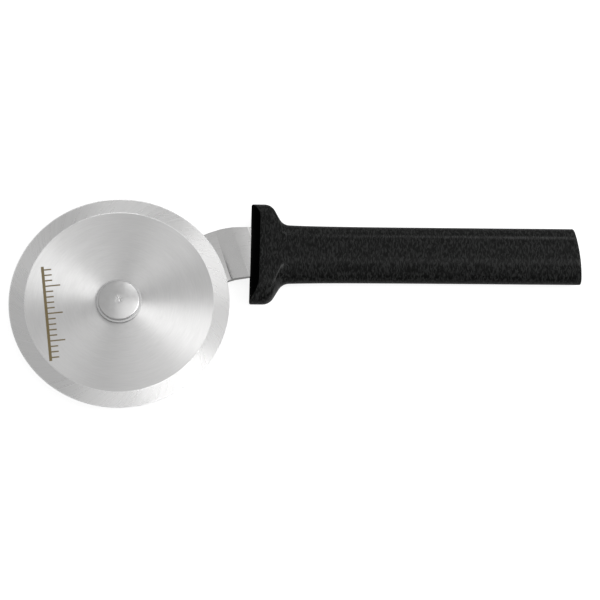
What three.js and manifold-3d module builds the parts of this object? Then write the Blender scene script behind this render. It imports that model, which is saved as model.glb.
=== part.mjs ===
// Pastry cutter wheel: a stainless disc that spins on a riveted bush, carried on a joggled strip arm
// whose tang is moulded into a flat-topped resin handle with a cross guard.
//
// Millimetres, +Z up. The cutter lies on its back: the origin is on the wheel's axle, in the plane that
// the rivet's tail and the handle's back rest on. +X runs along the handle to its butt, +Y is the side
// that the handle is offset to, and +Z is the wheel's axle, towards the rivet's domed head.
import * as THREE from 'three';
import * as BufferGeometryUtils from 'three/addons/utils/BufferGeometryUtils.js';
import Module from 'manifold-3d';

const wasm = await Module();
wasm.setup();

// --- driving dimensions -------------------------------------------------------------------------
const WHEEL_RADIUS = 38.1;
const WHEEL_THICKNESS = 1.5;
const BEVEL_WIDTH = 5.5;            // radial width of the ground bevel, on both faces
const EDGE_THICKNESS = 0.2;         // blunt working edge
const WHEEL_BORE_RADIUS = 5.3;

const SHANK_RADIUS = 2.9;
const SHANK_HOLE_RADIUS = 3.2;      // holes in the washers, bush and arm that the shank fills
const RIVET_HEAD_RADIUS = 7.15;
const RIVET_HEAD_BAND = 0.9;        // straight band under the dome
const RIVET_HEAD_HEIGHT = 1.75;
const RIVET_TAIL_RADIUS = 4.6;
const RIVET_TAIL_HEIGHT = 1.3;
const RIVET_TAIL_CHAMFER = 0.4;
const BUSH_RADIUS = 5.0;
const HEAD_WASHER_RADIUS = 7.9;
const HEAD_WASHER_THICKNESS = 0.5;
const SPACER_RADIUS = 7.5;
const SPACER_THICKNESS = 1.3;
const TAIL_WASHER_RADIUS = 6.5;
const TAIL_WASHER_THICKNESS = 1.0;
const WASHER_CHAMFER = 0.15;

const STRIP_THICKNESS = 1.8;
const HUB_END_RADIUS = 9.5;         // round end of the arm, about the axle
const ARM_ANGLE = 27.8;             // degrees, from the handle's direction to the hub end's
const STRIP_LOW_Y = 9.58;           // edges of the strip where it enters the guard
const STRIP_HIGH_Y = 27.82;
const UPPER_BEND_RADIUS = 16;       // in plan, where the strip turns towards the hub
const LOWER_BEND_RADIUS = 9;
const JOGGLE_MIDDLE = 42.7;         // distance from the axle, across the bend lines
const JOGGLE_SLANT = 17.8;          // degrees, from the bend lines to +Y
const JOGGLE_ANGLE = 26;            // degrees, slope of the stretch between the two bends
const JOGGLE_RADIUS = 1.6;
const JOGGLE_EASE_ANGLE = 7;        // degrees, tilt that the flats take on as they come to the bends
const JOGGLE_EASE_LENGTH = 4.6;     // and the length over which they take it on
const STRIP_REACH = 120;            // longer than the strip either way, for the sheet it is cut from

const HANDLE_Y = 18;                // the handle's own axis
const HANDLE_HALF_WIDTH = 9.95;
const HANDLE_HALF_THICKNESS = 6.8;
const ROOT_EXTRA = 0.45;            // how much wider the grip is where it leaves the guard
const ROOT_FADE = 12;               // the length over which that dies away
const SHOULDER_WIDTH = 6.9;         // rounded edge either side of the flat top
const BUTT_X = 160.15;
const BUTT_RADIUS = 52;             // of the butt's arc in plan
const BUTT_CENTRE_Y = 11.5;         // the arc's furthest point, which slants the butt
const BUTT_SLANT_LENGTH = 30;       // the end stretch that follows the butt's slant
const BUTT_CROWN_LENGTH = 8;        // and the shorter one that follows its crown
const BUTT_CROWN = 0.8;             // how far the butt falls back at its upper and lower edges
const BUTT_EDGE_RADIUS = 0.4;

const GUARD_X = 45.12;              // foremost line of the guard, on the handle's axis
const GUARD_HALF_WIDTH = 18.1;
const GUARD_TIP_X = 49.3;           // where the guard's flat tip ends
const GUARD_TIP_RADIUS = 4.3;
const GUARD_ROOT_RADIUS = 4.4;
const GUARD_FLANK = 58.5;           // degrees, slope of the guard's flank
const GUARD_SWEEP = 3.4;            // how far the front face leans back at its upper and lower edges
const GUARD_FRONT_LEAN = 0.02;      // slope of the guard's front across the handle
const GUARD_FLANK_LEAN = 0.01;      // and of its flanks

const TANG_HALF_WIDTH = 6;
const TANG_SHOULDER_X = 51;
const TANG_END_X = 114;
const ANCHOR_X = [74, 98];          // holes in the tang that the resin fills
const ANCHOR_RADIUS = 2.6;

const GAP = 0.1;                    // between faces that touch on the real thing
const FIT_GAP = 0.35;               // round the tang in its pocket
const RUN_GAP = 0.3;                // beside the wheel, which turns

// --- levels worked out from them ------------------------------------------------------------------
const TAIL_WASHER_BOTTOM = RIVET_TAIL_HEIGHT + GAP;
const ARM_BOTTOM = TAIL_WASHER_BOTTOM + TAIL_WASHER_THICKNESS + GAP;
const SPACER_BOTTOM = ARM_BOTTOM + STRIP_THICKNESS + GAP;
const WHEEL_BOTTOM = SPACER_BOTTOM + SPACER_THICKNESS + RUN_GAP;
const WHEEL_TOP = WHEEL_BOTTOM + WHEEL_THICKNESS;
const HEAD_WASHER_BOTTOM = WHEEL_TOP + RUN_GAP;
const BUSH_BOTTOM = SPACER_BOTTOM + SPACER_THICKNESS + GAP;
const BUSH_TOP = HEAD_WASHER_BOTTOM - GAP;
const HEAD_BOTTOM = HEAD_WASHER_BOTTOM + HEAD_WASHER_THICKNESS + GAP;
const TANG_BOTTOM = HANDLE_HALF_THICKNESS - STRIP_THICKNESS / 2;
const JOGGLE_DROP = TANG_BOTTOM - ARM_BOTTOM;

const STEEL = { color: 0xc9ccce, metalness: 1, roughness: 0.32 };
const POLISHED = { color: 0xd6d8da, metalness: 1, roughness: 0.12 };
const RESIN = { color: 0x161716, metalness: 0, roughness: 0.55 };

// --- helpers ----------------------------------------------------------------------------------------
const rad = THREE.MathUtils.degToRad;

function toSolid(geometry) {
  const bare = geometry.index ? geometry.toNonIndexed() : geometry.clone();
  bare.deleteAttribute('normal');
  bare.deleteAttribute('uv');
  const merged = BufferGeometryUtils.mergeVertices(bare, 1e-4);
  return new wasm.Manifold(new wasm.Mesh({
    numProp: 3,
    vertProperties: new Float32Array(merged.attributes.position.array),
    triVerts: new Uint32Array(merged.index.array),
  }));
}

function toGeometry(solid) {
  const mesh = solid.getMesh();
  const geometry = new THREE.BufferGeometry();
  geometry.setAttribute('position', new THREE.BufferAttribute(new Float32Array(mesh.vertProperties), 3));
  geometry.setIndex(new THREE.BufferAttribute(new Uint32Array(mesh.triVerts), 1));
  return geometry;
}

function named(name, geometry, look) {
  geometry.computeVertexNormals();
  const mesh = new THREE.Mesh(geometry, new THREE.MeshStandardMaterial(look));
  mesh.name = name;
  return mesh;
}

// A solid of revolution about +Z: its profile is [radius, height] pairs, going up the outside.
function turned(profile, segments) {
  const points = profile.map(([radius, height]) => new THREE.Vector2(radius, height));
  return new THREE.LatheGeometry(points, segments).rotateX(Math.PI / 2);
}

function ring(inner, outer, bottom, top, segments, chamfer = 0) {
  return turned([
    [inner, bottom],
    [outer - chamfer, bottom],
    [outer, bottom + chamfer],
    [outer, top - chamfer],
    [outer - chamfer, top],
    [inner, top],
    [inner, bottom],
  ], segments);
}

function washer(radius, bottom, thickness) {
  return ring(SHANK_HOLE_RADIUS, radius, bottom, bottom + thickness, 40, WASHER_CHAMFER);
}

function circle(x, y, radius) {
  return new THREE.Path().absarc(x, y, radius, 0, 2 * Math.PI, true);
}

function prism(shape, bottom, top) {
  const options = { depth: top - bottom, bevelEnabled: false, curveSegments: 16 };
  return new THREE.ExtrudeGeometry(shape, options).translate(0, 0, bottom);
}

// --- the wheel and its axle ---------------------------------------------------------------------------
function cuttingWheel() {
  const middle = (WHEEL_BOTTOM + WHEEL_TOP) / 2;
  const faceRadius = WHEEL_RADIUS - BEVEL_WIDTH;
  return turned([
    [WHEEL_BORE_RADIUS, WHEEL_BOTTOM],
    [faceRadius, WHEEL_BOTTOM],
    [WHEEL_RADIUS, middle - EDGE_THICKNESS / 2],
    [WHEEL_RADIUS, middle + EDGE_THICKNESS / 2],
    [faceRadius, WHEEL_TOP],
    [WHEEL_BORE_RADIUS, WHEEL_TOP],
    [WHEEL_BORE_RADIUS, WHEEL_BOTTOM],
  ], 96);
}

function axleRivet() {
  const rim = HEAD_BOTTOM + RIVET_HEAD_BAND;
  const domeHeight = RIVET_HEAD_HEIGHT - RIVET_HEAD_BAND;
  const profile = [
    [0, 0],
    [RIVET_TAIL_RADIUS - RIVET_TAIL_CHAMFER, 0],
    [RIVET_TAIL_RADIUS, RIVET_TAIL_CHAMFER],
    [RIVET_TAIL_RADIUS, RIVET_TAIL_HEIGHT],
    [SHANK_RADIUS, RIVET_TAIL_HEIGHT],
    [SHANK_RADIUS, HEAD_BOTTOM],
    [RIVET_HEAD_RADIUS, HEAD_BOTTOM],
  ];
  const steps = 8;
  for (let i = 0; i <= steps; i++) {
    const share = 1 - i / steps;
    profile.push([RIVET_HEAD_RADIUS * share, rim + domeHeight * (1 - share ** 2)]);
  }
  return turned(profile, 40);
}

// --- the arm ------------------------------------------------------------------------------------------
// How far a stretch reaches, and how much it rises, as its tilt goes evenly from one angle to another.
const reach = (length, from, to) => length * (Math.sin(to) - Math.sin(from)) / (to - from);
const rise = (length, from, to) => length * (Math.cos(from) - Math.cos(to)) / (to - from);

// The strip's side view: flat, down the joggle and flat again, as an outline in (distance, height).
function joggleOutline() {
  const ease = rad(JOGGLE_EASE_ANGLE);
  const slope = rad(JOGGLE_ANGLE);
  const bend = JOGGLE_RADIUS * (slope - ease);
  const bendRise = rise(JOGGLE_EASE_LENGTH, 0, ease) + rise(bend, ease, slope);
  const straight = (JOGGLE_DROP - 2 * bendRise) / Math.sin(slope);
  const bendReach = reach(JOGGLE_EASE_LENGTH, 0, ease) + reach(bend, ease, slope);
  const low = ARM_BOTTOM + STRIP_THICKNESS / 2;
  const halfRun = bendReach + straight * Math.cos(slope) / 2;

  const bottomHalf = [{ at: -STRIP_REACH, height: low, tilt: 0 }];
  let at = -halfRun;
  let height = low;
  const follow = (length, from, to, steps) => {
    for (let i = 0; i <= steps; i++) {
      const tilt = from + (to - from) * i / steps;
      const part = length * i / steps;
      const along = i ? reach(part, from, tilt) : 0;
      const up = i ? rise(part, from, tilt) : 0;
      bottomHalf.push({ at: at + along, height: height + up, tilt });
    }
    at += reach(length, from, to);
    height += rise(length, from, to);
  };
  follow(JOGGLE_EASE_LENGTH, 0, ease, 4);
  bottomHalf.pop();
  follow(bend, ease, slope, 4);
  const middleHeight = low + JOGGLE_DROP / 2;
  const topHalf = bottomHalf.toReversed().map((point) => (
    { at: -point.at, height: 2 * middleHeight - point.height, tilt: point.tilt }));
  const side = (sign) => [...bottomHalf, ...topHalf].map((point) => new THREE.Vector2(
    JOGGLE_MIDDLE + point.at - sign * Math.sin(point.tilt) * STRIP_THICKNESS / 2,
    point.height + sign * Math.cos(point.tilt) * STRIP_THICKNESS / 2,
  ));
  return [...side(-1), ...side(1).reverse()];
}

// The tang's plan from the guard's front to its rounded end, grown outwards by margin. It runs along
// the lower edge, round the end and back along the upper edge.
function addTang(shape, margin) {
  const low = HANDLE_Y - TANG_HALF_WIDTH - margin;
  const high = HANDLE_Y + TANG_HALF_WIDTH + margin;
  const shoulder = TANG_SHOULDER_X + margin;
  const corner = TANG_HALF_WIDTH / 2;
  const cornerX = TANG_END_X + margin - corner;
  shape.lineTo(shoulder, STRIP_LOW_Y - margin);
  shape.lineTo(shoulder, low);
  shape.absarc(cornerX, low + corner, corner, -Math.PI / 2, 0);
  shape.absarc(cornerX, high - corner, corner, 0, Math.PI / 2);
  shape.lineTo(shoulder, high);
  shape.lineTo(shoulder, STRIP_HIGH_Y + margin);
}

function tangPlan(margin) {
  const mouth = GUARD_X - GUARD_SWEEP;
  const shape = new THREE.Shape();
  shape.moveTo(mouth, STRIP_LOW_Y - margin);
  addTang(shape, margin);
  shape.lineTo(mouth, STRIP_HIGH_Y + margin);
  return shape;
}

// The whole strip's plan: the round hub end, the slanting arm, the turn and the tang.
function stripPlan() {
  const angle = rad(ARM_ANGLE);
  // Where an edge of the slanting arm, HUB_END_RADIUS to one side of the axle, reaches a level edge.
  const meeting = (y, side) => (y * Math.cos(angle) - side * HUB_END_RADIUS) / Math.sin(angle);
  const lowerTurn = meeting(STRIP_LOW_Y, -1) + LOWER_BEND_RADIUS * Math.tan(angle / 2);
  const upperTurn = meeting(STRIP_HIGH_Y, 1) + UPPER_BEND_RADIUS * Math.tan(angle / 2);
  const square = Math.PI / 2;
  const shape = new THREE.Shape();
  shape.absarc(0, 0, HUB_END_RADIUS, angle + square, angle + 3 * square);
  shape.absarc(lowerTurn, STRIP_LOW_Y - LOWER_BEND_RADIUS, LOWER_BEND_RADIUS, angle + square, square, true);
  addTang(shape, 0);
  shape.absarc(upperTurn, STRIP_HIGH_Y - UPPER_BEND_RADIUS, UPPER_BEND_RADIUS, square, angle + square);
  return shape;
}

function arm() {
  const options = { depth: 2 * STRIP_REACH, bevelEnabled: false };
  const joggled = new THREE.ExtrudeGeometry(new THREE.Shape(joggleOutline()), options)
    .rotateX(Math.PI / 2)
    .translate(0, STRIP_REACH, 0)
    .rotateZ(rad(JOGGLE_SLANT));
  const plan = stripPlan();
  plan.holes.push(circle(0, 0, SHANK_HOLE_RADIUS));
  ANCHOR_X.forEach((x) => plan.holes.push(circle(x, HANDLE_Y, ANCHOR_RADIUS)));
  return toGeometry(toSolid(joggled).intersect(toSolid(prism(plan, -STRIP_REACH, STRIP_REACH))));
}

// --- the handle -----------------------------------------------------------------------------------------
// The guard's outline in plan: a rounded tip, a straight flank and a root that fairs into the grip.
const flank = rad(GUARD_FLANK);
const gripStartWidth = HANDLE_HALF_WIDTH + ROOT_EXTRA;
const flankStart = GUARD_TIP_X + GUARD_TIP_RADIUS * Math.sin(flank);
const flankStartWidth = GUARD_HALF_WIDTH - GUARD_TIP_RADIUS * (1 - Math.cos(flank));
const flankEndWidth = gripStartWidth + GUARD_ROOT_RADIUS * (1 - Math.cos(flank));
const flankEnd = flankStart + (flankStartWidth - flankEndWidth) / Math.tan(flank);
const gripStart = flankEnd + GUARD_ROOT_RADIUS * Math.sin(flank);

const arcSag = (radius, run) => radius - Math.sqrt(radius ** 2 - run ** 2);

function halfWidth(x) {
  if (x <= GUARD_TIP_X) return GUARD_HALF_WIDTH;
  if (x <= flankStart) return GUARD_HALF_WIDTH - arcSag(GUARD_TIP_RADIUS, x - GUARD_TIP_X);
  if (x <= flankEnd) return flankStartWidth - (x - flankStart) * Math.tan(flank);
  if (x <= gripStart) return gripStartWidth + arcSag(GUARD_ROOT_RADIUS, gripStart - x);
  return HANDLE_HALF_WIDTH + ROOT_EXTRA * Math.exp((gripStart - x) / ROOT_FADE);
}

// One closed section as [across, up] pairs: flat above and below, with elliptical shoulders.
function section(width, thickness) {
  const steps = 8;
  const flat = width - SHOULDER_WIDTH;
  const shoulder = [];
  for (let i = 0; i <= steps; i++) {
    const turn = (i / steps) * Math.PI / 2;
    shoulder.push([flat + SHOULDER_WIDTH * Math.cos(turn), thickness * Math.sin(turn)]);
  }
  const upper = [...shoulder, ...shoulder.map(([across, up]) => [-across, up]).reverse()];
  const lower = upper.slice(1, -1).reverse().map(([across, up]) => [across, -up]);
  return [...upper, ...lower];
}

// Places a point of the straight handle where it belongs: leaning guard, swept front, slanted butt.
function placed(x, across, up) {
  const height = up / HANDLE_HALF_THICKNESS;
  const y = HANDLE_Y + across;
  const { smoothstep } = THREE.MathUtils;
  const sweep = GUARD_SWEEP * height ** 2 * (1 - smoothstep(x, GUARD_X, gripStart));
  const slope = THREE.MathUtils.mapLinear(x, GUARD_X, flankEnd, GUARD_FRONT_LEAN, GUARD_FLANK_LEAN);
  const lean = slope * across * (1 - smoothstep(x, flankEnd, gripStart + ROOT_FADE));
  const butt = (y - BUTT_CENTRE_Y) ** 2 / (2 * BUTT_RADIUS);
  const slant = butt * smoothstep(x, BUTT_X - BUTT_SLANT_LENGTH, BUTT_X);
  const crown = BUTT_CROWN * height ** 2 * smoothstep(x, BUTT_X - BUTT_CROWN_LENGTH, BUTT_X);
  return [x + sweep + lean - slant - crown, y, HANDLE_HALF_THICKNESS + up];
}

// The outside of the handle: rings of points from the middle of the guard's face to that of the butt.
function handleSkin() {
  const rings = [];
  const capScales = [0.25, 0.5, 0.75];
  const addCap = (x, inset, scales) => scales.forEach((scale) => {
    const outline = section(halfWidth(x) - inset, HANDLE_HALF_THICKNESS - inset);
    rings.push(outline.map(([across, up]) => placed(x, across * scale, up * scale)));
  });
  const addRing = (x, inset = 0) => addCap(x, inset, [1]);
  const spread = (from, to, count) => {
    for (let i = 1; i <= count; i++) addRing(from + (to - from) * i / count);
  };

  addCap(GUARD_X, 0, capScales);
  addRing(GUARD_X);
  spread(GUARD_X, GUARD_TIP_X, 2);
  spread(GUARD_TIP_X, flankStart, 4);
  spread(flankStart, flankEnd, 2);
  spread(flankEnd, gripStart, 4);
  spread(gripStart, BUTT_X - BUTT_EDGE_RADIUS, 12);
  const edgeSteps = 3;
  for (let i = 1; i <= edgeSteps; i++) {
    const turn = (i / edgeSteps) * Math.PI / 2;
    const inset = BUTT_EDGE_RADIUS * (1 - Math.cos(turn));
    addRing(BUTT_X - BUTT_EDGE_RADIUS * (1 - Math.sin(turn)), inset);
  }
  addCap(BUTT_X, BUTT_EDGE_RADIUS, capScales.toReversed());

  const around = rings[0].length;
  const vertices = [placed(GUARD_X, 0, 0), ...rings.flat(), placed(BUTT_X, 0, 0)];
  const last = vertices.length - 1;
  const at = (ringIndex, i) => 1 + ringIndex * around + (i % around);
  const faces = [];
  for (let i = 0; i < around; i++) {
    faces.push(0, at(0, i + 1), at(0, i));
    faces.push(last, at(rings.length - 1, i), at(rings.length - 1, i + 1));
    for (let r = 0; r < rings.length - 1; r++) {
      faces.push(at(r, i), at(r, i + 1), at(r + 1, i + 1));
      faces.push(at(r, i), at(r + 1, i + 1), at(r + 1, i));
    }
  }
  const geometry = new THREE.BufferGeometry();
  geometry.setAttribute('position', new THREE.Float32BufferAttribute(vertices.flat(), 3));
  geometry.setIndex(faces);
  return geometry;
}

// Moulded round the tang: the pocket follows the strip, and two pillars pass through the tang's holes.
function handle() {
  const pocketShape = tangPlan(FIT_GAP);
  ANCHOR_X.forEach((x) => pocketShape.holes.push(circle(x, HANDLE_Y, ANCHOR_RADIUS - FIT_GAP)));
  const pocket = prism(pocketShape, TANG_BOTTOM - FIT_GAP, TANG_BOTTOM + STRIP_THICKNESS + FIT_GAP);
  return toGeometry(toSolid(handleSkin()).subtract(toSolid(pocket)));
}

// --- assembly -----------------------------------------------------------------------------------------
const cutter = new THREE.Group();
cutter.add(
  named('cutting_wheel', cuttingWheel(), STEEL),
  named('hub_bush', ring(SHANK_HOLE_RADIUS, BUSH_RADIUS, BUSH_BOTTOM, BUSH_TOP, 32), STEEL),
  named('head_washer', washer(HEAD_WASHER_RADIUS, HEAD_WASHER_BOTTOM, HEAD_WASHER_THICKNESS), STEEL),
  named('spacer_washer', washer(SPACER_RADIUS, SPACER_BOTTOM, SPACER_THICKNESS), STEEL),
  named('tail_washer', washer(TAIL_WASHER_RADIUS, TAIL_WASHER_BOTTOM, TAIL_WASHER_THICKNESS), STEEL),
  named('axle_rivet', axleRivet(), POLISHED),
  named('arm', arm(), STEEL),
  named('handle', handle(), RESIN),
);

export default cutter;
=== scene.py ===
"""Looks of the pastry cutter wheel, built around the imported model.

Lengths in this script are millimetres in the model's own frame, and each mesh is turned into metres as it
is made. The origin is on the wheel's axle, +X runs along the handle, +Z is the axle, towards the rivet's
domed head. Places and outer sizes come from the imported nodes; the rest are the dimensions named below.
"""
import math

import bmesh
import bpy
from mathutils import Matrix, Vector, noise


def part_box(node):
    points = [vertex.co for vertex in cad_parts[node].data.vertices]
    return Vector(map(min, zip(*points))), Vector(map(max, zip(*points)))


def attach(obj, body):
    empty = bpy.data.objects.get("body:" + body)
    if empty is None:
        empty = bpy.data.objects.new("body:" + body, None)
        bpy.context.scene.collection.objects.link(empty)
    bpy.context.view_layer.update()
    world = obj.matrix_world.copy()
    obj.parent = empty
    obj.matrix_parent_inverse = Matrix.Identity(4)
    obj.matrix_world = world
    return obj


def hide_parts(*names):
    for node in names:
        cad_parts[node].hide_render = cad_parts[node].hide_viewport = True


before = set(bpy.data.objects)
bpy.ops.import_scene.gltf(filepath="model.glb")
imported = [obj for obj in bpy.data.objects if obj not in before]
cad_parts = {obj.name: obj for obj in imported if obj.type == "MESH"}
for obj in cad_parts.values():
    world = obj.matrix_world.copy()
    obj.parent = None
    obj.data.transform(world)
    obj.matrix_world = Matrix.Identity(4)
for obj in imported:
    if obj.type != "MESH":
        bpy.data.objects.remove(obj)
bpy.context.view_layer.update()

MM = 0.001


def node_box(node):
    """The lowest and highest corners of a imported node, in millimetres."""
    low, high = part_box(node)
    return low / MM, high / MM


def turned_box(node):
    """Radius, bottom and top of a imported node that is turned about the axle."""
    low, high = node_box(node)
    return high.x, low.z, high.z


# --- dimensions -------------------------------------------------------------------------------------
BEVEL_WIDTH = 5.5
EDGE_THICKNESS = 0.2
EDGE_ROUNDING = 0.06
WHEEL_BORE_RADIUS = 5.3
WHEEL_BORE_ROUNDING = 0.15
SCRATCH_ANGLE = math.radians(42)    # from the radius to the bevel's grinding marks, clockwise from above

SHANK_RADIUS = 2.9
SHANK_HOLE_RADIUS = 3.2
RING_CORNER = 0.12
RIVET_HEAD_RADIUS = 7.15
RIVET_HEAD_BAND = 0.9
RIVET_RIM_ROUNDING = 0.45
RIVET_FOOT_ROUNDING = 0.12
RIVET_HEAD_GAP = 0.1                # between the head and the washer under it
DOME_START = 0.95                   # where the dome's rings start, as a share of the head's radius
RIVET_TAIL_RADIUS = 4.6
RIVET_TAIL_HEIGHT = 1.3
RIVET_TAIL_ROUNDING = 0.4           # of the tail's outer end; half as much where it meets the washer
STRUCK_RADIUS = 1.9                 # of the mark that the riveting punch leaves on the dome
STRUCK_DEPTH = 0.16

STRIP_THICKNESS = 1.8
HUB_END_RADIUS = 9.5
ARM_ANGLE = math.radians(27.8)      # from the handle's direction to the hub end's
STRIP_LOW_Y = 9.58
STRIP_HIGH_Y = 27.82
UPPER_BEND_RADIUS = 16
LOWER_BEND_RADIUS = 9
JOGGLE_MIDDLE = 42.7
JOGGLE_SLANT = math.radians(17.8)   # from the bend lines to +Y
JOGGLE_ANGLE = math.radians(26)
JOGGLE_RADIUS = 1.6
JOGGLE_EASE_ANGLE = math.radians(7)  # tilt that the flats take on as they come to the bends
JOGGLE_EASE_LENGTH = 4.6
STRIP_EDGE_RADIUS = 0.3

HANDLE_Y = 18
HANDLE_HALF_WIDTH = 9.95
ROOT_EXTRA = 0.45
ROOT_FADE = 12
SHOULDER_WIDTH = 6.9
BUTT_RADIUS = 52
BUTT_CENTRE_Y = 11.5
BUTT_SLANT_LENGTH = 30
BUTT_CROWN_LENGTH = 8
BUTT_CROWN = 0.8
BUTT_EDGE_RADIUS = 0.4

GUARD_X = 45.12
GUARD_HALF_WIDTH = 18.1
GUARD_TIP_X = 49.3
GUARD_TIP_RADIUS = 4.3
GUARD_ROOT_RADIUS = 4.4
GUARD_FLANK = math.radians(58.5)
GUARD_SWEEP = 3.4
GUARD_FRONT_LEAN = 0.02
GUARD_FLANK_LEAN = 0.01
GUARD_EDGE_RADIUS = 0.25            # small rounding round the guard's front face

TANG_HALF_WIDTH = 6
TANG_SHOULDER_X = 51
TANG_END_X = 114
ANCHOR_X = (74, 98)
ANCHOR_RADIUS = 2.6
FIT_GAP = 0.35

# --- camera -----------------------------------------------------------------------------------------
CAMERA_TARGET = Vector((62.4, 1.25, 7))
CAMERA_TOWARD = Vector((-0.0239, -0.3304, 0.9435))
CAMERA_DISTANCE = 1037
CAMERA_LENS = 180
CAMERA_SENSOR = 36


def make_camera():
    """A long lens, looking down on the cutter with +Y upwards in the picture."""
    toward = CAMERA_TOWARD.normalized()
    right = Vector((0, 1, 0)).cross(toward).normalized()
    up = toward.cross(right)
    place = Matrix.Translation((CAMERA_TARGET + toward * CAMERA_DISTANCE) * MM)
    data = bpy.data.cameras.new("camera")
    data.lens = CAMERA_LENS
    data.sensor_width = CAMERA_SENSOR
    data.clip_start = 0.01
    camera = bpy.data.objects.new("camera", data)
    camera.matrix_world = place @ Matrix((right, up, toward)).transposed().to_4x4()
    bpy.context.scene.collection.objects.link(camera)
    bpy.context.scene.camera = camera


# --- outlines ---------------------------------------------------------------------------------------
def arc(x, y, radius, start, end, steps):
    """Points from angle start to angle end of a circle, both ends included."""
    angles = [start + (end - start) * i / steps for i in range(steps + 1)]
    return [(x + radius * math.cos(a), y + radius * math.sin(a)) for a in angles]


def rounded(corners, steps=4):
    """The points of a closed outline of (x, y, radius) corners, with an arc at each that has a radius."""
    points = []
    for i, (x, y, radius) in enumerate(corners):
        if not radius:
            points.append((x, y))
            continue
        corner = Vector((x, y))
        before = (Vector(corners[i - 1][:2]) - corner).normalized()
        after = (Vector(corners[(i + 1) % len(corners)][:2]) - corner).normalized()
        half = before.angle(after) / 2
        centre = corner + (before + after).normalized() * radius / math.sin(half)
        first = corner + before * radius / math.tan(half) - centre
        turn = (math.pi - 2 * half) * (1 if before.x * after.y < before.y * after.x else -1)
        start = math.atan2(first.y, first.x)
        points += arc(centre.x, centre.y, radius, start, start + turn, steps)
    return points


# --- meshes -----------------------------------------------------------------------------------------
def piece_from(name, bm, body, node, materials, sharp):
    """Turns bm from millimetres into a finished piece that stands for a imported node."""
    bmesh.ops.scale(bm, vec=(MM, MM, MM), verts=bm.verts)
    bmesh.ops.recalc_face_normals(bm, faces=bm.faces)
    mesh = bpy.data.meshes.new(name)
    bm.to_mesh(mesh)
    bm.free()
    for material in materials:
        mesh.materials.append(material)
    mesh.shade_smooth()
    mesh.set_sharp_from_angle(angle=math.radians(sharp))
    piece = bpy.data.objects.new(name, mesh)
    bpy.context.scene.collection.objects.link(piece)
    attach(piece, body)
    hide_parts(node)
    return piece


def lathe(profile, segments):
    """A solid turned about +Z from a closed outline of (radius, height) points; a zero radius is a pole."""
    bm = bmesh.new()
    poles = {i: bm.verts.new((0, 0, height)) for i, (radius, height) in enumerate(profile) if radius == 0}
    columns = []
    for k in range(segments):
        angle = 2 * math.pi * k / segments
        column = []
        for i, (radius, height) in enumerate(profile):
            place = (radius * math.cos(angle), radius * math.sin(angle), height)
            column.append(poles[i] if i in poles else bm.verts.new(place))
        columns.append(column)
    for k, column in enumerate(columns):
        beside = columns[(k + 1) % segments]
        for i in range(len(profile)):
            j = (i + 1) % len(profile)
            corners = list(dict.fromkeys((column[i], beside[i], beside[j], column[j])))
            if len(corners) > 2:
                bm.faces.new(corners)
    return bm


def plate(outline, holes, bottom, top, cuts=(), across=(1, 0, 0)):
    """A solid over a plan with holes, between the heights bottom(x, y) and top(x, y).

    The plan is divided at the given distances along the direction across, so that it can follow bends."""
    bm = bmesh.new()
    for loop in (outline, *holes):
        verts = [bm.verts.new((x, y, 0)) for x, y in loop]
        for i, vert in enumerate(verts):
            bm.edges.new((verts[i - 1], vert))
    bmesh.ops.triangle_fill(bm, use_beauty=True, edges=bm.edges)
    bmesh.ops.dissolve_limit(bm, angle_limit=0.01, verts=bm.verts, edges=bm.edges,
                             use_dissolve_boundaries=False)
    for distance in cuts:
        parts = [*bm.verts, *bm.edges, *bm.faces]
        bmesh.ops.bisect_plane(bm, geom=parts, plane_co=Vector(across) * distance, plane_no=across)
    plan = list(bm.faces)
    rim = [edge for edge in bm.edges if len(edge.link_faces) == 1]
    under = {}
    for vert in list(bm.verts):
        x, y, _ = vert.co
        under[vert] = bm.verts.new((x, y, bottom(x, y)))
    for face in plan:
        bm.faces.new([under[vert] for vert in reversed(face.verts)])
    for edge in rim:
        first, second = edge.verts
        bm.faces.new((first, second, under[second], under[first]))
    for vert in under:
        vert.co.z = top(vert.co.x, vert.co.y)
    bmesh.ops.recalc_face_normals(bm, faces=bm.faces)
    return bm


# --- wheel, rivet and washers -----------------------------------------------------------------------
def make_wheel(face_material, bevel_material):
    radius, bottom, top = turned_box("cutting_wheel")
    middle = (bottom + top) / 2
    face_radius = radius - BEVEL_WIDTH
    outline = rounded([
        (WHEEL_BORE_RADIUS, bottom, WHEEL_BORE_ROUNDING),
        (face_radius, bottom, 0),
        (radius, middle - EDGE_THICKNESS / 2, EDGE_ROUNDING),
        (radius, middle + EDGE_THICKNESS / 2, EDGE_ROUNDING),
        (face_radius, top, 0),
        (WHEEL_BORE_RADIUS, top, WHEEL_BORE_ROUNDING),
    ])
    bm = lathe(outline, segments=288)
    for face in bm.faces:
        if math.hypot(*face.calc_center_median()[:2]) > face_radius:
            face.material_index = 1
    return piece_from("wheel_disc", bm, "wheel", "cutting_wheel",
                      [face_material, bevel_material], sharp=3)


def struck(bm, centre_height):
    """Presses the rough, shallow mark of the riveting punch into the middle of the dome."""
    coarse = 1.9
    fine = 4.3
    for vert in bm.verts:
        reach = math.hypot(vert.co.x, vert.co.y) / STRUCK_RADIUS
        if reach < 1 and vert.co.z > centre_height:
            fade = (1 - reach ** 2) ** 2
            grain = noise.noise(Vector((vert.co.x * coarse, vert.co.y * coarse, 3.1)))
            grain += 0.5 * noise.noise(Vector((vert.co.x * fine, vert.co.y * fine, 7.7)))
            vert.co.z -= STRUCK_DEPTH * fade * (0.55 + 0.9 * grain)


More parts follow.
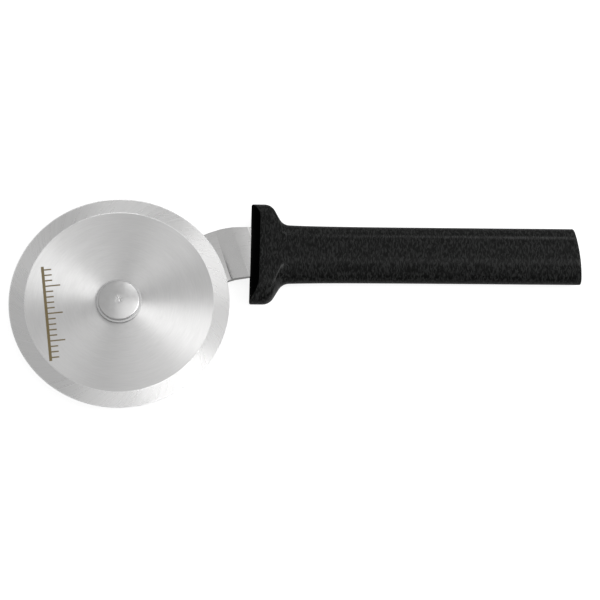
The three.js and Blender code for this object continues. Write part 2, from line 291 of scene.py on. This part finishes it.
def make_rivet(material):
    _, bottom, top = turned_box("axle_rivet")
    head_bottom = node_box("head_washer")[1].z + RIVET_HEAD_GAP
    rim = head_bottom + RIVET_HEAD_BAND

    def dome(radius):
        return top - (top - rim) * (radius / RIVET_HEAD_RADIUS) ** 2

    dome_edge = DOME_START * RIVET_HEAD_RADIUS
    outline = rounded([
        (0, bottom, 0),
        (RIVET_TAIL_RADIUS, bottom, RIVET_TAIL_ROUNDING),
        (RIVET_TAIL_RADIUS, bottom + RIVET_TAIL_HEIGHT, RIVET_TAIL_ROUNDING / 2),
        (SHANK_RADIUS, bottom + RIVET_TAIL_HEIGHT, 0),
        (SHANK_RADIUS, head_bottom, 0),
        (RIVET_HEAD_RADIUS, head_bottom, RIVET_FOOT_ROUNDING),
        (RIVET_HEAD_RADIUS, rim, RIVET_RIM_ROUNDING),
        (dome_edge, dome(dome_edge), 0),
    ])
    rings = 40
    for i in range(1, rings):
        radius = dome_edge * (1 - i / rings)
        outline.append((radius, dome(radius)))
    outline.append((0, top))
    bm = lathe(outline, segments=144)
    struck(bm, rim)
    return piece_from("rivet", bm, "frame", "axle_rivet", [material], sharp=25)


def make_ring(name, node, material):
    """A washer or the bush: a ring round the shank, with its corners rounded."""
    radius, bottom, top = turned_box(node)
    outline = rounded([
        (SHANK_HOLE_RADIUS, bottom, RING_CORNER / 2),
        (radius, bottom, RING_CORNER),
        (radius, top, RING_CORNER),
        (SHANK_HOLE_RADIUS, top, RING_CORNER / 2),
    ])
    return piece_from(name, lathe(outline, segments=128), "frame", node, [material], sharp=30)


# --- arm --------------------------------------------------------------------------------------------
def joggle_line(side):
    """(distance, height) points of the strip's upper (side 1) or lower (side -1) surface."""
    low = node_box("arm")[0].z + STRIP_THICKNESS / 2
    high = node_box("arm")[1].z - STRIP_THICKNESS / 2
    bend = JOGGLE_RADIUS * (JOGGLE_ANGLE - JOGGLE_EASE_ANGLE)
    ease = (JOGGLE_EASE_LENGTH, 0, JOGGLE_EASE_ANGLE)
    curve = [(0, 0, 0)]
    for length, start, end in (ease, (bend, JOGGLE_EASE_ANGLE, JOGGLE_ANGLE)):
        run, rise, _ = curve[-1]
        radius = length / (end - start)
        for i in range(1, 9):
            tilt = start + (end - start) * i / 8
            curve.append((run + radius * (math.sin(tilt) - math.sin(start)),
                          rise + radius * (math.cos(start) - math.cos(tilt)), tilt))
    run, rise, _ = curve[-1]
    half_run = run + (high - low - 2 * rise) / math.tan(JOGGLE_ANGLE) / 2
    bottom = [(run - half_run, low + rise, tilt) for run, rise, tilt in curve]
    top = [(half_run - run, high - rise, tilt) for run, rise, tilt in reversed(curve)]
    half = side * STRIP_THICKNESS / 2
    return [(JOGGLE_MIDDLE + at - half * math.sin(tilt), height + half * math.cos(tilt))
            for at, height, tilt in bottom + top]


def height_along(line):
    """A function of (x, y) that follows the points of line, level beyond both ends."""
    def height(x, y):
        at = x * math.cos(JOGGLE_SLANT) + y * math.sin(JOGGLE_SLANT)
        if at <= line[0][0]:
            return line[0][1]
        for (a, low), (b, high) in zip(line, line[1:]):
            if at <= b:
                return low + (high - low) * (at - a) / (b - a)
        return line[-1][1]

    return height


def tang_outline(margin):
    """The tang's plan behind its shoulders, grown outwards by margin, from the lower to the upper edge."""
    low = HANDLE_Y - TANG_HALF_WIDTH - margin
    high = HANDLE_Y + TANG_HALF_WIDTH + margin
    shoulder = TANG_SHOULDER_X + margin
    corner = TANG_HALF_WIDTH / 2
    end = TANG_END_X + margin - corner
    return [
        (shoulder, STRIP_LOW_Y - margin),
        (shoulder, low),
        *arc(end, low + corner, corner, -math.pi / 2, 0, 10),
        *arc(end, high - corner, corner, 0, math.pi / 2, 10),
        (shoulder, high),
        (shoulder, STRIP_HIGH_Y + margin),
    ]


def strip_outline():
    """The whole strip's plan: round hub end, slanting arm, the turn and the tang."""
    def meeting(y, side):
        return (y * math.cos(ARM_ANGLE) - side * HUB_END_RADIUS) / math.sin(ARM_ANGLE)

    lower = meeting(STRIP_LOW_Y, -1) + LOWER_BEND_RADIUS * math.tan(ARM_ANGLE / 2)
    upper = meeting(STRIP_HIGH_Y, 1) + UPPER_BEND_RADIUS * math.tan(ARM_ANGLE / 2)
    square = math.pi / 2
    return [
        *arc(0, 0, HUB_END_RADIUS, ARM_ANGLE + square, ARM_ANGLE + 3 * square, 48),
        *arc(lower, STRIP_LOW_Y - LOWER_BEND_RADIUS, LOWER_BEND_RADIUS, ARM_ANGLE + square, square, 12),
        *tang_outline(0),
        *arc(upper, STRIP_HIGH_Y - UPPER_BEND_RADIUS, UPPER_BEND_RADIUS, square, ARM_ANGLE + square, 16),
    ]


def circle(x, y, radius, steps):
    return arc(x, y, radius, 0, 2 * math.pi, steps)[:-1]


def make_arm(material):
    upper, lower = joggle_line(1), joggle_line(-1)
    cuts = sorted(at for at, _ in upper + lower)
    across = (math.cos(JOGGLE_SLANT), math.sin(JOGGLE_SLANT), 0)
    holes = [circle(0, 0, SHANK_HOLE_RADIUS, 48)]
    holes += [circle(x, HANDLE_Y, ANCHOR_RADIUS, 32) for x in ANCHOR_X]
    bm = plate(strip_outline(), holes, height_along(lower), height_along(upper), cuts, across)
    rim = [edge for edge in bm.edges if edge.calc_face_angle(0) > math.radians(50)]
    bmesh.ops.bevel(bm, geom=rim, offset=STRIP_EDGE_RADIUS, segments=3, profile=0.5, affect="EDGES")
    return piece_from("arm_strip", bm, "frame", "arm", [material], sharp=30)


# --- handle -----------------------------------------------------------------------------------------
GRIP_START_WIDTH = HANDLE_HALF_WIDTH + ROOT_EXTRA
FLANK_START = GUARD_TIP_X + GUARD_TIP_RADIUS * math.sin(GUARD_FLANK)
FLANK_START_WIDTH = GUARD_HALF_WIDTH - GUARD_TIP_RADIUS * (1 - math.cos(GUARD_FLANK))
FLANK_END_WIDTH = GRIP_START_WIDTH + GUARD_ROOT_RADIUS * (1 - math.cos(GUARD_FLANK))
FLANK_END = FLANK_START + (FLANK_START_WIDTH - FLANK_END_WIDTH) / math.tan(GUARD_FLANK)
GRIP_START = FLANK_END + GUARD_ROOT_RADIUS * math.sin(GUARD_FLANK)


def arc_sag(radius, run):
    return radius - math.sqrt(radius ** 2 - run ** 2)


def half_width(x):
    """Half of the handle's width in plan: rounded guard tip, straight flank, root and grip."""
    if x <= GUARD_TIP_X:
        return GUARD_HALF_WIDTH
    if x <= FLANK_START:
        return GUARD_HALF_WIDTH - arc_sag(GUARD_TIP_RADIUS, x - GUARD_TIP_X)
    if x <= FLANK_END:
        return FLANK_START_WIDTH - (x - FLANK_START) * math.tan(GUARD_FLANK)
    if x <= GRIP_START:
        return GRIP_START_WIDTH + arc_sag(GUARD_ROOT_RADIUS, GRIP_START - x)
    return HANDLE_HALF_WIDTH + ROOT_EXTRA * math.exp((GRIP_START - x) / ROOT_FADE)


def section(width, thickness):
    """One closed section as (across, up) pairs: flat above and below, with elliptical shoulders."""
    steps = 20
    flat_steps = 8
    flat = width - SHOULDER_WIDTH
    turns = [math.pi / 2 * i / steps for i in range(steps + 1)]
    shoulder = [(flat + SHOULDER_WIDTH * math.cos(t), thickness * math.sin(t)) for t in turns]
    level = [(flat * (1 - 2 * i / flat_steps), thickness) for i in range(1, flat_steps)]
    upper = [*shoulder, *level, *[(-across, up) for across, up in reversed(shoulder)]]
    return upper + [(across, -up) for across, up in reversed(upper[1:-1])]


def smoothstep(x, low, high):
    t = min(max((x - low) / (high - low), 0), 1)
    return t * t * (3 - 2 * t)


def handle_shape():
    """A function that puts a point of the straight handle in place, with its lean, sweep and slant."""
    low, high = node_box("handle")
    half_thickness = (high.z - low.z) / 2
    butt_x = high.x

    def placed(x, across, up):
        height = up / half_thickness
        y = HANDLE_Y + across
        sweep = GUARD_SWEEP * height ** 2 * (1 - smoothstep(x, GUARD_X, GRIP_START))
        share = (x - GUARD_X) / (FLANK_END - GUARD_X)
        slope = GUARD_FRONT_LEAN + (GUARD_FLANK_LEAN - GUARD_FRONT_LEAN) * share
        lean = slope * across * (1 - smoothstep(x, FLANK_END, GRIP_START + ROOT_FADE))
        butt = (y - BUTT_CENTRE_Y) ** 2 / (2 * BUTT_RADIUS)
        slant = butt * smoothstep(x, butt_x - BUTT_SLANT_LENGTH, butt_x)
        crown = BUTT_CROWN * height ** 2 * smoothstep(x, butt_x - BUTT_CROWN_LENGTH, butt_x)
        return x + sweep + lean - slant - crown, y, half_thickness + up

    return placed, half_thickness, butt_x


def handle_skin():
    """The outside of the handle, in rings from the middle of the guard's face to that of the butt."""
    placed, half_thickness, butt_x = handle_shape()
    rings = []

    def add_ring(x, inset=0, scale=1):
        outline = section(half_width(x) - inset, half_thickness - inset)
        rings.append([placed(x, across * scale, up * scale) for across, up in outline])

    def spread(start, end, count):
        for i in range(1, count + 1):
            add_ring(start + (end - start) * i / count)

    cap_steps = 12
    edge_steps = 4
    for i in range(1, cap_steps):
        add_ring(GUARD_X, GUARD_EDGE_RADIUS, i / cap_steps)
    for i in range(edge_steps + 1):
        turn = math.pi / 2 * i / edge_steps
        add_ring(GUARD_X + GUARD_EDGE_RADIUS * (1 - math.cos(turn)), GUARD_EDGE_RADIUS * (1 - math.sin(turn)))
    face_rings = len(rings) - edge_steps
    spread(GUARD_X + GUARD_EDGE_RADIUS, GUARD_TIP_X, 8)
    spread(GUARD_TIP_X, FLANK_START, 10)
    spread(FLANK_START, FLANK_END, 12)
    spread(FLANK_END, GRIP_START, 10)
    spread(GRIP_START, butt_x - BUTT_EDGE_RADIUS, 130)
    for i in range(1, edge_steps + 1):
        turn = math.pi / 2 * i / edge_steps
        add_ring(butt_x - BUTT_EDGE_RADIUS * (1 - math.sin(turn)), BUTT_EDGE_RADIUS * (1 - math.cos(turn)))
    for i in range(1, cap_steps):
        add_ring(butt_x, BUTT_EDGE_RADIUS, 1 - i / cap_steps)

    bm = bmesh.new()
    columns = [[bm.verts.new(point) for point in ring] for ring in rings]
    around = len(columns[0])
    for r in range(len(columns) - 1):
        for i in range(around):
            j = (i + 1) % around
            face = bm.faces.new((columns[r][i], columns[r][j], columns[r + 1][j], columns[r + 1][i]))
            face.material_index = 1 if r < face_rings else 0
    front = bm.verts.new(placed(GUARD_X, 0, 0))
    back = bm.verts.new(placed(butt_x, 0, 0))
    for i in range(around):
        j = (i + 1) % around
        bm.faces.new((front, columns[0][j], columns[0][i])).material_index = 1
        bm.faces.new((back, columns[-1][i], columns[-1][j]))
    return bm


def tang_pocket():
    """What the strip needs inside the handle, with the two resin pillars left standing."""
    strip_top = node_box("arm")[1].z
    mouth = GUARD_X - GUARD_SWEEP
    outline = [(mouth, STRIP_LOW_Y - FIT_GAP), *tang_outline(FIT_GAP), (mouth, STRIP_HIGH_Y + FIT_GAP)]
    holes = [circle(x, HANDLE_Y, ANCHOR_RADIUS - FIT_GAP, 32) for x in ANCHOR_X]
    floor = strip_top - STRIP_THICKNESS - FIT_GAP
    ceiling = strip_top + FIT_GAP
    return plate(outline, holes, lambda x, y: floor, lambda x, y: ceiling)


def cut_away(bm, cutter):
    """bm less cutter, by Blender's exact boolean."""
    objects = []
    for name, part in (("body", bm), ("cutter", cutter)):
        bmesh.ops.recalc_face_normals(part, faces=part.faces)
        mesh = bpy.data.meshes.new(name)
        part.to_mesh(mesh)
        part.free()
        objects.append(bpy.data.objects.new(name, mesh))
        bpy.context.scene.collection.objects.link(objects[-1])
    body, tool = objects
    modifier = body.modifiers.new("cut", "BOOLEAN")
    modifier.operation = "DIFFERENCE"
    modifier.solver = "EXACT"
    modifier.object = tool
    bpy.context.view_layer.update()
    evaluated = body.evaluated_get(bpy.context.evaluated_depsgraph_get())
    result = bmesh.new()
    result.from_mesh(evaluated.to_mesh())
    for made in objects:
        bpy.data.objects.remove(made)
    return result


def make_handle(resin, face_material):
    bm = cut_away(handle_skin(), tang_pocket())
    return piece_from("handle_moulding", bm, "frame", "handle",
                      [resin, face_material], sharp=35)


# --- materials --------------------------------------------------------------------------------------
FACE_ROUGHNESS = 0.42
FACE_ANISOTROPY = 0.9
BEVEL_ROUGHNESS = 0.28
BEVEL_ANISOTROPY = 0.93
# The bevel's two bright lines are painted highlights: the base colour is lightened in thin rings to stand for
# glints, and the roughness is raised there.
GLINT_EDGE_LINE = 0.25              # width of the painted highlight line at the bevel's working edge
GLINT_INNER_LINE = 0.1              # and of the painted highlight line where the bevel meets the face
GLINT_FADE = 0.15

SCALE_CENTRE = (-22.3, -4.4, 0)     # the printed measuring scale, on the wheel's face
SCALE_TILT = math.radians(6.5)
SCALE_LENGTH = 34.5
SCALE_LEFT = -2.6
SCALE_LINE = 0.5
SCALE_SOFTNESS = 0.06
SCALE_TICKS = ((2, 3), (10, 5.6))   # spacing and length of the short and of the long ticks
SCALE_INK = (0.13, 0.098, 0.041, 1)


class Graph:
    """A node tree, with short calls for the few kinds of node that are used here."""

    def __init__(self, tree):
        self.tree = tree
        self.tree.nodes.clear()

    def add(self, kind, inputs=None, **settings):
        node = self.tree.nodes.new(kind)
        for key, value in settings.items():
            setattr(node, key, value)
        for key, value in (inputs or {}).items():
            self.feed(node.inputs[key], value)
        return node

    def feed(self, socket, value):
        if isinstance(value, bpy.types.NodeSocket):
            self.tree.links.new(value, socket)
        else:
            socket.default_value = value

    def math(self, operation, *values):
        node = self.add("ShaderNodeMath", operation=operation)
        for socket, value in zip(node.inputs, values):
            self.feed(socket, value)
        return node.outputs[0]

    def place(self, kind="Object"):
        """The shaded point's coordinates: metres from the piece's origin, unless kind says otherwise."""
        return self.add("ShaderNodeTexCoord").outputs[kind]

    def split(self, vector):
        return self.add("ShaderNodeSeparateXYZ", {0: vector}).outputs

    def join(self, x, y, z):
        return self.add("ShaderNodeCombineXYZ", {0: x, 1: y, 2: z}).outputs[0]

    def scaled(self, vector, scale):
        return self.add("ShaderNodeVectorMath", {0: vector, 1: scale}, operation="MULTIPLY").outputs[0]

    def noise(self, vector, scale=1.0, detail=2.0, roughness=0.5, distortion=0.0):
        inputs = {"Vector": vector, "Scale": scale, "Detail": detail, "Roughness": roughness,
                  "Distortion": distortion}
        return self.add("ShaderNodeTexNoise", inputs).outputs[0]

    def ramp(self, value, low, high, start, end, kind="LINEAR"):
        inputs = {0: value, 1: low, 2: high, 3: start, 4: end}
        return self.add("ShaderNodeMapRange", inputs, interpolation_type=kind).outputs[0]

    def tinted(self, value, dark, light):
        """A colour from dark to light as value goes from 0 to 1."""
        node = self.add("ShaderNodeMix", data_type="RGBA")
        self.feed(node.inputs["Factor"], value)
        self.feed(node.inputs[6], dark)
        self.feed(node.inputs[7], light)
        return node.outputs[2]

    def bump(self, height, distance):
        """A normal from height; distance is in metres."""
        inputs = {"Height": height, "Distance": distance, "Strength": 1.0}
        return self.add("ShaderNodeBump", inputs).outputs[0]


class Look(Graph):
    """A material: one principled shader and the nodes that feed it."""

    def __init__(self, name):
        self.material = bpy.data.materials.new(name)
        self.material.use_nodes = True
        super().__init__(self.material.node_tree)
        self.shader = self.add("ShaderNodeBsdfPrincipled")
        self.add("ShaderNodeOutputMaterial", {"Surface": self.shader.outputs[0]})

    def set(self, **inputs):
        """Sets the shader's sockets: base_color is Base Color, and so on."""
        for key, value in inputs.items():
            name = key.replace("_", " ").title().replace("Ior", "IOR")
            self.feed(self.shader.inputs[name], value)


def grey(level, warmth=0.0):
    return (level * (1 + warmth), level, level * (1 - warmth), 1)


def polar(graph):
    """Distance from the axle in millimetres, and the unit direction from it."""
    flat = graph.scaled(graph.place(), (1 / MM, 1 / MM, 0))
    radius = graph.add("ShaderNodeVectorMath", {0: flat}, operation="LENGTH").outputs["Value"]
    direction = graph.add("ShaderNodeVectorMath", {0: flat}, operation="NORMALIZE").outputs[0]
    return radius, direction


def turned_streaks(graph, radius, direction, arc_scale, radial_scale, detail=3.0):
    """Noise drawn out along circles about the axle."""
    around = graph.split(graph.scaled(direction, (arc_scale, arc_scale, 0)))
    vector = graph.join(around[0], around[1], graph.math("MULTIPLY", radius, radial_scale))
    return graph.noise(vector, detail=detail, roughness=0.6)


def sideways_tangent(graph, amount):
    """For a surface that is brushed along the handle, so that it spreads light across it."""
    graph.set(anisotropic=amount, tangent=graph.join(0, 1, 0))


def radial_tangent(graph, turn, amount):
    tangent = graph.add("ShaderNodeTangent", direction_type="RADIAL", axis="Z")
    graph.set(anisotropic=amount, anisotropic_rotation=turn, tangent=tangent.outputs[0])


def printed_scale(graph):
    """Where the ink is: a line with a short tick every 2 mm and a long one every 10 mm."""
    place = graph.scaled(graph.place(), (1 / MM, 1 / MM, 0))
    shifted = graph.add("ShaderNodeVectorMath", {0: place, 1: SCALE_CENTRE}, operation="SUBTRACT").outputs[0]
    turned = graph.add("ShaderNodeVectorRotate", {"Vector": shifted, "Angle": -SCALE_TILT},
                       rotation_type="Z_AXIS")
    across, along, _ = graph.split(turned.outputs[0])

    def band(value, low, high):
        off_middle = graph.math("ABSOLUTE", graph.math("SUBTRACT", value, (low + high) / 2))
        half = (high - low) / 2
        return graph.ramp(off_middle, half - SCALE_SOFTNESS, half + SCALE_SOFTNESS, 1, 0)

    def ticks(spacing, length):
        phase = graph.math("PINGPONG", along, spacing / 2)
        half = SCALE_LINE / 2
        line = graph.ramp(phase, half - SCALE_SOFTNESS, half + SCALE_SOFTNESS, 1, 0)
        return graph.math("MULTIPLY", line, band(across, SCALE_LEFT, SCALE_LEFT + length))

    marks = graph.math("MAXIMUM", *[ticks(spacing, length) for spacing, length in SCALE_TICKS])
    marks = graph.math("MAXIMUM", marks, band(across, SCALE_LEFT - SCALE_LINE, SCALE_LEFT + SCALE_LINE))
    half_length = SCALE_LENGTH / 2
    return graph.math("MULTIPLY", marks, band(along, -half_length, half_length))


def wheel_face_material():
    graph = Look("brushed_wheel_face")
    radius, direction = polar(graph)
    fine = turned_streaks(graph, radius, direction, 5, 2.2)
    broad = turned_streaks(graph, radius, direction, 2.2, 0.35, detail=1)
    shade = graph.math("MULTIPLY_ADD", fine, 0.7, graph.math("MULTIPLY", broad, 0.3))
    steel = graph.tinted(graph.ramp(shade, 0.3, 0.7, 0, 1), grey(0.59, 0.004), grey(0.66, 0.004))
    ink = printed_scale(graph)
    graph.set(metallic=graph.math("SUBTRACT", 1, ink),
              base_color=graph.tinted(ink, steel, SCALE_INK),
              roughness=graph.ramp(fine, 0.25, 0.75, FACE_ROUGHNESS - 0.03, FACE_ROUGHNESS + 0.03),
              normal=graph.bump(fine, 0.0000012))
    radial_tangent(graph, 0.25, FACE_ANISOTROPY)
    return graph.material


def wheel_bevel_material():
    graph = Look("ground_wheel_bevel")
    radius, direction = polar(graph)
    outer = turned_box("cutting_wheel")[0]
    middle = outer - BEVEL_WIDTH / 2
    out = graph.math("SUBTRACT", radius, middle)
    turn = graph.math("MULTIPLY", out, math.tan(SCRATCH_ANGLE) / middle)
    spiral = graph.add("ShaderNodeVectorRotate", {"Vector": direction, "Angle": turn},
                       rotation_type="Z_AXIS")
    spiral = graph.split(spiral.outputs[0])

    def scratches(spacing, length):
        vector = graph.join(graph.math("MULTIPLY", spiral[0], middle / spacing),
                            graph.math("MULTIPLY", spiral[1], middle / spacing),
                            graph.math("MULTIPLY", out, 1 / length))
        return graph.noise(vector, detail=2, roughness=0.55)

    coarse = scratches(0.9, 14)
    fine = scratches(0.42, 10)
    marks = graph.math("MULTIPLY_ADD", coarse, 0.55, graph.math("MULTIPLY", fine, 0.45))
    edge_line = outer - GLINT_EDGE_LINE
    inner_line = outer - BEVEL_WIDTH + GLINT_INNER_LINE
    # painted highlight: a mask of the two thin rings where glints are painted into the colour
    painted_glint = graph.math("MAXIMUM", graph.ramp(radius, edge_line - GLINT_FADE, edge_line, 0, 1),
                       graph.ramp(radius, inner_line, inner_line + GLINT_FADE, 1, 0))
    ground = graph.tinted(graph.ramp(marks, 0.32, 0.68, 0, 1), grey(0.6, 0.004), grey(0.66, 0.004))
    graph.set(metallic=1.0,
              # painted highlight: the base colour goes lighter in the two glint rings
              base_color=graph.tinted(painted_glint, ground, grey(0.8)),
              roughness=graph.math("MULTIPLY_ADD", painted_glint, 0.2,
                                   graph.ramp(marks, 0.3, 0.7, BEVEL_ROUGHNESS - 0.015,
                                              BEVEL_ROUGHNESS + 0.015)),
              normal=graph.bump(marks, 0.0000001))
    radial_tangent(graph, (0.5 - SCRATCH_ANGLE / (2 * math.pi)) % 0.5, BEVEL_ANISOTROPY)
    return graph.material


def rivet_material():
    graph = Look("polished_rivet")
    radius, _ = polar(graph)
    place = graph.scaled(graph.place(), (1 / MM, 1 / MM, 1 / MM))
    struck_zone = graph.ramp(radius, STRUCK_RADIUS * 0.7, STRUCK_RADIUS * 1.15, 1, 0)
    cloud = graph.noise(place, scale=0.6, detail=3)
    scuffs = graph.noise(graph.scaled(place, (1.2, 5, 1.2)), scale=0.6, detail=2)
    dents = graph.noise(place, scale=3.2, detail=3, roughness=0.7)
    relief = graph.math("MULTIPLY_ADD", graph.math("MULTIPLY", dents, struck_zone), 30, scuffs)
    graph.set(metallic=1.0,
              base_color=graph.tinted(cloud, grey(0.48, 0.003), grey(0.56, 0.003)),
              roughness=graph.math("MULTIPLY_ADD", struck_zone, 0.04,
                                   graph.ramp(cloud, 0.3, 0.7, 0.28, 0.36)),
              normal=graph.bump(relief, 0.000001))
    return graph.material


def plain_steel_material(name, roughness, level):
    """Tumbled steel, for the washers and the bush."""
    graph = Look(name)
    radius, direction = polar(graph)
    rings = turned_streaks(graph, radius, direction, 3, 5)
    place = graph.scaled(graph.place(), (1 / MM, 1 / MM, 1 / MM))
    cloud = graph.noise(place, scale=0.9, detail=4)
    graph.set(metallic=1.0,
              base_color=graph.tinted(cloud, grey(level * 0.92), grey(level * 1.06)),
              roughness=graph.ramp(rings, 0.3, 0.7, roughness - 0.05, roughness + 0.06),
              normal=graph.bump(rings, 0.000003))
    return graph.material


def strip_material():
    graph = Look("rolled_strip")
    place = graph.scaled(graph.place(), (1 / MM, 1 / MM, 1 / MM))
    along = graph.add("ShaderNodeVectorRotate", {"Vector": place, "Angle": -ARM_ANGLE / 2},
                      rotation_type="Z_AXIS")
    lines = graph.noise(graph.scaled(along.outputs[0], (0.12, 2.6, 2.6)), detail=4, roughness=0.6)
    cloud = graph.noise(place, scale=0.25, detail=3)
    shade = graph.math("MULTIPLY_ADD", lines, 0.5, graph.math("MULTIPLY", cloud, 0.5))
    graph.set(metallic=1.0,
              base_color=graph.tinted(shade, grey(0.56, 0.006), grey(0.7, 0.006)),
              roughness=graph.ramp(lines, 0.3, 0.7, 0.26, 0.36),
              normal=graph.bump(lines, 0.000003))
    sideways_tangent(graph, 0.6)
    return graph.material


def resin_material():
    """Black resin with a moulded grain: short uneven ridges that run round the handle."""
    graph = Look("grained_resin")
    place = graph.scaled(graph.place(), (1 / MM, 1 / MM, 1 / MM))
    sway = graph.noise(place, scale=0.5, detail=1)
    parts = graph.split(place)
    shifted = graph.join(graph.math("MULTIPLY_ADD", sway, 1.6, parts[0]), parts[1], parts[2])
    grain = graph.noise(graph.scaled(shifted, (2.4, 0.6, 0.6)), detail=2, roughness=0.5, distortion=0.3)
    graph.set(base_color=graph.tinted(graph.ramp(grain, 0.45, 0.62, 0, 1),
                                      (0.0002, 0.0003, 0.0002, 1), (0.0145, 0.0149, 0.0146, 1)),
              roughness=graph.ramp(grain, 0.3, 0.7, 0.28, 0.22),
              specular_ior_level=0.13,
              normal=graph.bump(grain, 0.00003))
    return graph.material


def smooth_resin_material():
    graph = Look("smooth_resin")
    place = graph.scaled(graph.place(), (1 / MM, 1 / MM, 1 / MM))
    cloud = graph.noise(place, scale=0.8, detail=3)
    graph.set(base_color=graph.tinted(cloud, (0.0001, 0.0001, 0.0001, 1), (0.0004, 0.0004, 0.0004, 1)),
              roughness=graph.ramp(cloud, 0.3, 0.7, 0.42, 0.52),
              specular_ior_level=0.005,
              normal=graph.bump(cloud, 0.00002))
    return graph.material


# --- studio -----------------------------------------------------------------------------------------
# Plain studio light: an even dome over the horizon, and softboxes that face the wheel. Each softbox has
# its direction from the wheel, its distance, width and height in millimetres, and its radiance.
DOME = 0.8
BELOW = 0.35                        # radiance from under the horizon
HORIZON = 0.01                      # half the height over which BELOW fades into DOME, in a unit direction
SOFTBOXES = {
    "key": ((1, 0, 1), 700, 400, 400, 5),
    "overhead": ((0.2, 0, 1), 1200, 800, 600, 0.8),
    "back": ((0.3, 0.7, 0.7), 1200, 400, 300, 3),
    "front": ((0.5, -0.6, 0.7), 1200, 600, 200, 1.5),
}


def make_floor():
    size = 4000
    level = -0.02
    mesh = bpy.data.meshes.new("floor")
    corners = [(-size, -size, level), (size, -size, level), (size, size, level), (-size, size, level)]
    mesh.from_pydata([Vector(corner) * MM for corner in corners], [], [(0, 1, 2, 3)])
    floor = bpy.data.objects.new("floor", mesh)
    bpy.context.scene.collection.objects.link(floor)
    graph = Look("pale_floor")
    cloud = graph.noise(graph.place(), scale=3, detail=2)
    graph.set(base_color=graph.tinted(cloud, grey(0.29), grey(0.31)), roughness=0.9, specular_ior_level=0.1,
              emission_color=grey(1), emission_strength=0.85)
    mesh.materials.append(graph.material)
    floor.visible_glossy = False


def softbox(name, direction, distance, width, height, radiance):
    """A rectangular light that faces the axle; its energy gives it the radiance asked for."""
    data = bpy.data.lights.new(name, "AREA")
    data.shape = "RECTANGLE"
    data.size = width * MM
    data.size_y = height * MM
    data.energy = radiance * math.pi * data.size * data.size_y
    light = bpy.data.objects.new(name, data)
    toward = Vector(direction).normalized()
    light.location = toward * distance * MM
    light.rotation_euler = toward.to_track_quat("Z", "Y").to_euler()
    light.visible_camera = False
    bpy.context.scene.collection.objects.link(light)


def make_world():
    world = bpy.data.worlds.new("studio")
    bpy.context.scene.world = world
    world.use_nodes = True
    graph = Graph(world.node_tree)
    height = graph.split(graph.place("Generated"))[2]
    strength = graph.ramp(height, -HORIZON, HORIZON, BELOW, DOME)
    background = graph.add("ShaderNodeBackground", {"Strength": strength})
    graph.add("ShaderNodeOutputWorld", {"Surface": background.outputs[0]})


def make_studio():
    bpy.context.scene.view_settings.view_transform = "Standard"
    make_floor()
    make_world()
    for name, settings in SOFTBOXES.items():
        softbox(name, *settings)


# --- everything -------------------------------------------------------------------------------------
make_camera()
make_studio()
make_wheel(wheel_face_material(), wheel_bevel_material())
make_rivet(rivet_material())
washer_steel = plain_steel_material("tumbled_washer", 0.42, 0.5)
bush_steel = plain_steel_material("turned_bush", 0.22, 0.62)
make_ring("washer_under_head", "head_washer", washer_steel)
make_ring("washer_behind_wheel", "spacer_washer", washer_steel)
make_ring("washer_at_tail", "tail_washer", washer_steel)
make_ring("wheel_bush", "hub_bush", bush_steel)
make_arm(strip_material())
make_handle(resin_material(), smooth_resin_material())
